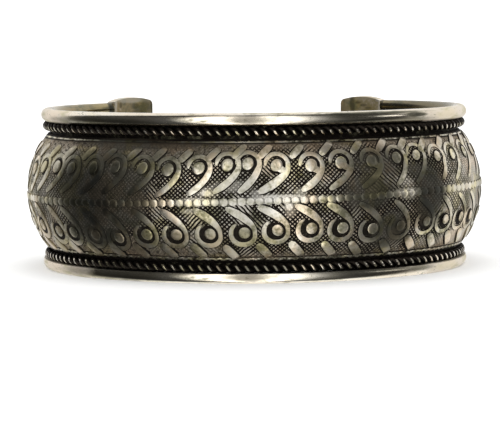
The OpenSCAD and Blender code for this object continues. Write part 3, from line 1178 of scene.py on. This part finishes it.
class CUFF_OT_stem(bpy.types.Operator):
    """Raises the stem of touching beads along the crown of the dome"""
    bl_idname = "cuff.stem"
    bl_label = "Bead stem"

    def execute(self, context):
        chasing = context.scene.cuff_chasing
        pitch = chasing.bead_pitch
        first, last = reach(LINE_OUT)
        model = turned(8, ((1.0, SUNK), *(
            (across, chasing.bead_height * up) for across, up in BEAD_PROFILE)))
        stretch(model, pitch * BEAD_SHARE, chasing.bead_half, 1)
        draw = random.Random(11)
        count = int((last - first) / pitch)
        spare = (last - first - (count - 1) * pitch) / 2
        copies = []
        for index in range(count):
            along = first + spare + index * pitch
            place = Matrix.Translation((along, stem_height(along / MM) * MM, 0))
            size = Matrix.Scale(draw.uniform(0.9, 1.06), 4, (0, 1, 0))
            copies.append(copy_of(model, place @ size))
        remove(model)
        core = [(along, stem_height(along), 0.2)
                for along in evenly(first / MM, last / MM, count=60)]
        copies.append(relief_curve("stem_core", [core]))
        raise_on_dome(join(copies, "bead_stem"), "bead_stem")
        return {"FINISHED"}


class CUFF_OT_leaves(bpy.types.Operator):
    """Raises the slanting leaves above and below the scrolls"""
    bl_idname = "cuff.leaves"
    bl_label = "Leaves"

    def execute(self, context):
        chasing = context.scene.cuff_chasing
        half = chasing.leaf_length / MM / 2
        width = chasing.leaf_half / MM
        lines = []
        for chart, slope, size, wide in ((UPPER_LEAVES, 0.82, 1.0, 1.1),
                                         (LOWER_LEAVES, -0.88, 1.12, 1.3)):
            step = Vector((math.cos(slope), math.sin(slope))) * half * size
            for row in carried_on(chart, LEAF_MARGIN):
                lines.append([(*(Vector(row) + step * along), width * wide * across)
                              for along, across in LEAF_OUTLINE])
        raise_on_dome(relief_curve("leaves", lines), "leaves")
        return {"FINISHED"}


class CUFF_OT_borders(bpy.types.Operator):
    """Raises the plain ridge along the upper edge and the zigzag along the lower"""
    bl_idname = "cuff.borders"
    bl_label = "Borders"

    def execute(self, context):
        first, last = reach(LINE_OUT, MM)
        _, radius, half_angle = dome_circle()
        top = radius * half_angle / MM
        ridge = [(along, top - RIDGE_IN, RIDGE_HALF)
                 for along in evenly(first, last, count=120)]
        turns = evenly(first, last, count=2 * int((last - first) / ZIGZAG_LENGTH))
        zigzag = [(along, ZIGZAG_IN - top - ZIGZAG_SWING * (-1) ** i, ZIGZAG_HALF)
                  for i, along in enumerate(turns)]
        material = silver_material("border_silver", patch=1.4, wear=0.42, base="olive",
                                   low="recess", stain=0.95, shine="dome_shine",
                                   oxide_and_shade=below(0.03, 0.01, 0.02))
        raise_on_dome(relief_curve("borders", [ridge, zigzag], steps=3), "borders",
                      (material,))
        return {"FINISHED"}


class CUFF_OT_wires(bpy.types.Operator):
    """Twists two strands for each of the wires beside the rims"""
    bl_idname = "cuff.wires"
    bl_label = "Twisted wires"

    def execute(self, context):
        sizes = context.scene.cuff_sizes
        out = sizes.margin_wall + sizes.gap + sizes.wire_width / 2
        first, last = reach(out)
        strand = sizes.wire_width / 4
        turns = (last - first) / sizes.wire_lay
        steps = int(turns * 16)
        slope = FULL_TURN * strand / sizes.wire_lay
        # lean tips the lit crest down: a painted highlight where light falls, and painted shade
        # on the upper wire's top, under its rim.
        for where, height, lean in (("lower", sizes.lower_wire_height, 5),
                                    ("upper", sizes.upper_wire_height, 36)):
            strands = []
            for side in (-1, 1):
                piece = circle(16, strand, (0, side * strand, 0), "NOTHING", ACROSS)
                stretch(piece, 1, 1, math.hypot(1, slope))
                apply_modifier(piece, "SCREW", axis="X", angle=FULL_TURN * turns,
                               screw_offset=last - first, steps=steps, render_steps=steps,
                               iterations=1, use_normal_calculate=True)
                face_outwards(piece, close=True)
                strands.append(piece)
            name = where + "_twisted_wire"
            piece = join(strands, name)
            lean = math.radians(lean)
            # A wire's "height" attribute holds its lit crest, where the painted highlight goes.
            keep_values(piece, "height", lambda place: self.lit_crest(place, 2 * strand, lean))
            move(piece, first, 0, height)
            chart_uv(piece, lambda place: (place.x, place.z - height))
            wrap_round_wrist(piece, out)
            # Off the lit crest the wire is painted black: painted shade, with oxide between the
            # strands.
            material = silver_material(
                name + "_silver", patch=3.0, wear=0.75, rough=(0.2, 0.35), stain=0.9,
                stains=name + "_stains", oxide_and_shade=below(0.66, 0.1, 0.1))
            finish(piece, name, (material,), where + "_rope",
                   smooth=math.radians(60))
        return {"FINISHED"}

    def lit_crest(self, place, reach, lean):
        """How near a point is to the crest of a strand, which is rubbed and carries a painted
        highlight: 1 on it, and falling off across the strand and away from the outer side, which
        leans down to where the light falls."""
        out = math.hypot(place.y, place.z)
        facing = (-place.y * math.cos(lean) - place.z * math.sin(lean)) / max(out, 1e-9)
        return min((out / reach - 0.95) / 0.05, (facing - 0.25) / 0.75)


class CUFF_OT_rims(bpy.types.Operator):
    """Draws the two rim wires, with flats above and below"""
    bl_idname = "cuff.rims"
    bl_label = "Rims"

    def execute(self, context):
        sizes = context.scene.cuff_sizes
        out = sizes.rim_width / 2
        upper_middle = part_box("upper_rim")[1].z - sizes.rim_middle
        for where, centre, side, matte in (("lower", sizes.rim_middle, 1, (27.5, 29.0)),
                                           ("upper", upper_middle, -1, (32.0, 28.5))):
            piece = circle(48, out, (0, 0, centre), turn=ACROSS)
            edit(piece)
            for corner, facing in zip(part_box(where + "_rim"), (-1, 1)):
                bpy.ops.mesh.bisect(plane_co=(0, 0, corner.z), plane_no=(0, 0, facing),
                                    clear_outer=True, threshold=MERGE)
                bpy.ops.mesh.select_all(action="SELECT")
            bpy.ops.mesh.delete(type="ONLY_FACE")
            draw_out(piece, *reach(out), spacing=0.6 * MM)
            keep_values(piece, "inward", lambda place: place.y / out)
            chart_uv(piece, lambda place: (place.x, place.z - centre))
            wrap_round_wrist(piece, out)
            name = where + "_rim_wire"
            # under paints shade, with oxide, on the rim's side next to its twisted wire.
            material = silver_material(
                name + "_silver", patch=1.6, wear=0.62, rough=(0.12, 0.28), stain=0.9,
                stains=name + "_stains", bump=0.3, oxide_and_shade=under(side), inner=True,
                pits=0.7, streak=3.0, film=0.4, matte=matte)
            finish(piece, name, (material,), where + "_rim")
        return {"FINISHED"}


class CUFF_OT_blocks(bpy.types.Operator):
    """Softens the edges of the two end blocks"""
    bl_idname = "cuff.blocks"
    bl_label = "End blocks"

    def execute(self, context):
        arcs = wrist_arcs()
        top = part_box("upper_rim")[1].z
        for where, seam, arc in zip(("left", "right"), seams(), (arcs[0], arcs[-1])):
            piece = copy_of(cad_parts[where + "_terminal"])
            for key in list(piece.keys()):
                del piece[key]
            piece.parent = None
            piece.data.materials.clear()
            edit(piece)
            bpy.ops.mesh.remove_doubles(threshold=MERGE)
            bpy.ops.mesh.dissolve_limited(angle_limit=math.radians(1.0))
            face_outwards(piece)
            apply_modifier(piece, "BEVEL", width=BLOCK_EDGE, segments=3,
                           limit_method="ANGLE", angle_limit=math.radians(35))
            chart_uv(piece, lambda place: self.from_seam(place, seam, arc, top))
            name = where + "_block"
            # The shine table gives each block a painted highlight with wear along its crown.
            material = silver_material(
                name + "_silver", patch=2.6, wear=0.22, base="brown", rough=(0.3, 0.5),
                bump=0.3, stain=0.85, stains=name + "_stains", pits=0.6,
                shine=name + "_shine")
            finish(piece, name, (material,), where + "_terminal",
                   smooth=math.radians(30))
        return {"FINISHED"}

    def from_seam(self, place, seam, arc, top):
        """Distance of a place from the seam, and its height over the rims' top."""
        _, _, centre, radius = arc
        direction = math.atan2(place.y - centre[1], place.x - centre[0])
        away = abs(math.remainder(direction - seam, FULL_TURN))
        return away * radius, place.z - top


class CUFF_OT_stage(bpy.types.Operator):
    """Lays the pale floor and sets the soft lights"""
    bl_idname = "cuff.stage"
    bl_label = "Stage"

    def execute(self, context):
        deselect_all()
        bpy.ops.mesh.primitive_plane_add(size=FLOOR_WIDTH)
        floor = context.object
        floor.name = "floor"
        paint = bpy.data.materials.new("pale_floor")
        paint.use_nodes = True
        wires = Wires(paint.node_tree)
        shader = paint.node_tree.nodes["Principled BSDF"]
        shader.inputs["Base Color"].default_value = rgba(context.scene.cuff_studio.floor)
        shader.inputs["Roughness"].default_value = 0.8
        shader.inputs["Specular IOR Level"].default_value = 0.1
        mirrored = wires.node("LightPath").outputs["Is Glossy Ray"]
        clear = wires.node("BsdfTransparent").outputs[0]
        cover = wires.node("MixShader", {0: mirrored, 1: shader.outputs[0], 2: clear})
        wires.set(paint.node_tree.nodes["Material Output"], "Surface", cover.outputs[0])
        floor.data.materials.append(paint)
        self.light_world(context)
        context.scene.view_settings.view_transform = "Standard"
        return {"FINISHED"}

    def light_world(self, context):
        """Even white light, and for what the silver mirrors a studio that is dark in
        front but for the panels, and white overhead and behind."""
        world = bpy.data.worlds.new("studio")
        context.scene.world = world
        world.use_nodes = True
        wires = Wires(world.node_tree)
        right, ahead, up = wires.split(wires.node("TexCoord").outputs["Generated"])
        towards = wires.math("ARCTAN2", right, wires.scaled(ahead, -1.0))
        ramp = wires.node("ValToRGB", {"Fac": wires.scaled(towards, 1 / FULL_TURN, 0.5)})
        elements = ramp.color_ramp.elements
        while len(elements) < len(STUDIO_WALLS):
            elements.new(0.5)
        for element, (place, value) in zip(elements, STUDIO_WALLS):
            element.position = 0.5 + place / 360
            share = value / BRIGHTEST
            element.color = (share, share, share * 0.98, 1)
        fade = wires.step(up, 0.97, 0.6, 0.2 * BRIGHTEST, BRIGHTEST)
        below_front = wires.most(wires.step(up, -0.98, -0.5, 1.15, 1.0),
                                 wires.step(ahead, -0.1, 0.25))
        walls = wires.vector("MULTIPLY", ramp.outputs["Color"], wires.scaled(fade, below_front))
        overhead = wires.step(wires.scaled(up, 0.7, ahead), 0.36, 0.6)
        direction, height, half, brightness = LAMP
        edges = (half * 1.15, half * 0.75)
        beside = wires.math("ABSOLUTE", wires.math("SUBTRACT", towards, direction))
        above = wires.math("ABSOLUTE", wires.math("SUBTRACT", up, height))
        lamp = wires.scaled(wires.step(beside, *edges),
                            wires.step(above, *edges, 0.0, brightness))
        walls = wires.vector("MAXIMUM", walls, wires.most(overhead, lamp))
        mirrored = wires.node("LightPath").outputs["Is Glossy Ray"]
        shade = wires.mix(mirrored, rgba(EVEN_LIGHT), walls)
        background = world.node_tree.nodes["Background"]
        wires.set(background, "Color", shade)
        background.inputs["Strength"].default_value = 1.0


class CUFF_PT_panel(bpy.types.Panel):
    """Steps of the cuff, in order"""
    bl_label = "Chased silver cuff"
    bl_idname = "CUFF_PT_panel"
    bl_space_type = "VIEW_3D"
    bl_region_type = "UI"
    bl_category = "Cuff"

    def draw(self, context):
        column = self.layout.column()
        for step in STEPS:
            column.operator(step.bl_idname)


SETTINGS = (
    ("cuff_sizes", CuffSizes), ("cuff_chasing", ChasingSizes),
    ("cuff_colours", SilverColours), ("cuff_studio", StudioSettings),
)
STEPS = (
    CUFF_OT_camera, CUFF_OT_band, CUFF_OT_scrolls, CUFF_OT_bosses, CUFF_OT_stem,
    CUFF_OT_leaves, CUFF_OT_borders, CUFF_OT_wires, CUFF_OT_rims, CUFF_OT_blocks,
    CUFF_OT_stage,
)


def register():
    for name, group in SETTINGS:
        bpy.utils.register_class(group)
        setattr(bpy.types.Scene, name, bpy.props.PointerProperty(type=group))
    for step in STEPS:
        bpy.utils.register_class(step)
    bpy.utils.register_class(CUFF_PT_panel)


def unregister():
    bpy.utils.unregister_class(CUFF_PT_panel)
    for step in reversed(STEPS):
        bpy.utils.unregister_class(step)
    for name, group in reversed(SETTINGS):
        delattr(bpy.types.Scene, name)
        bpy.utils.unregister_class(group)


def main():
    register()
    for step in STEPS:
        area, operator = step.bl_idname.split(".")
        if getattr(getattr(bpy.ops, area), operator)() != {"FINISHED"}:
            raise RuntimeError(step.bl_label + " did not finish")


if __name__ == "__main__":
    main()
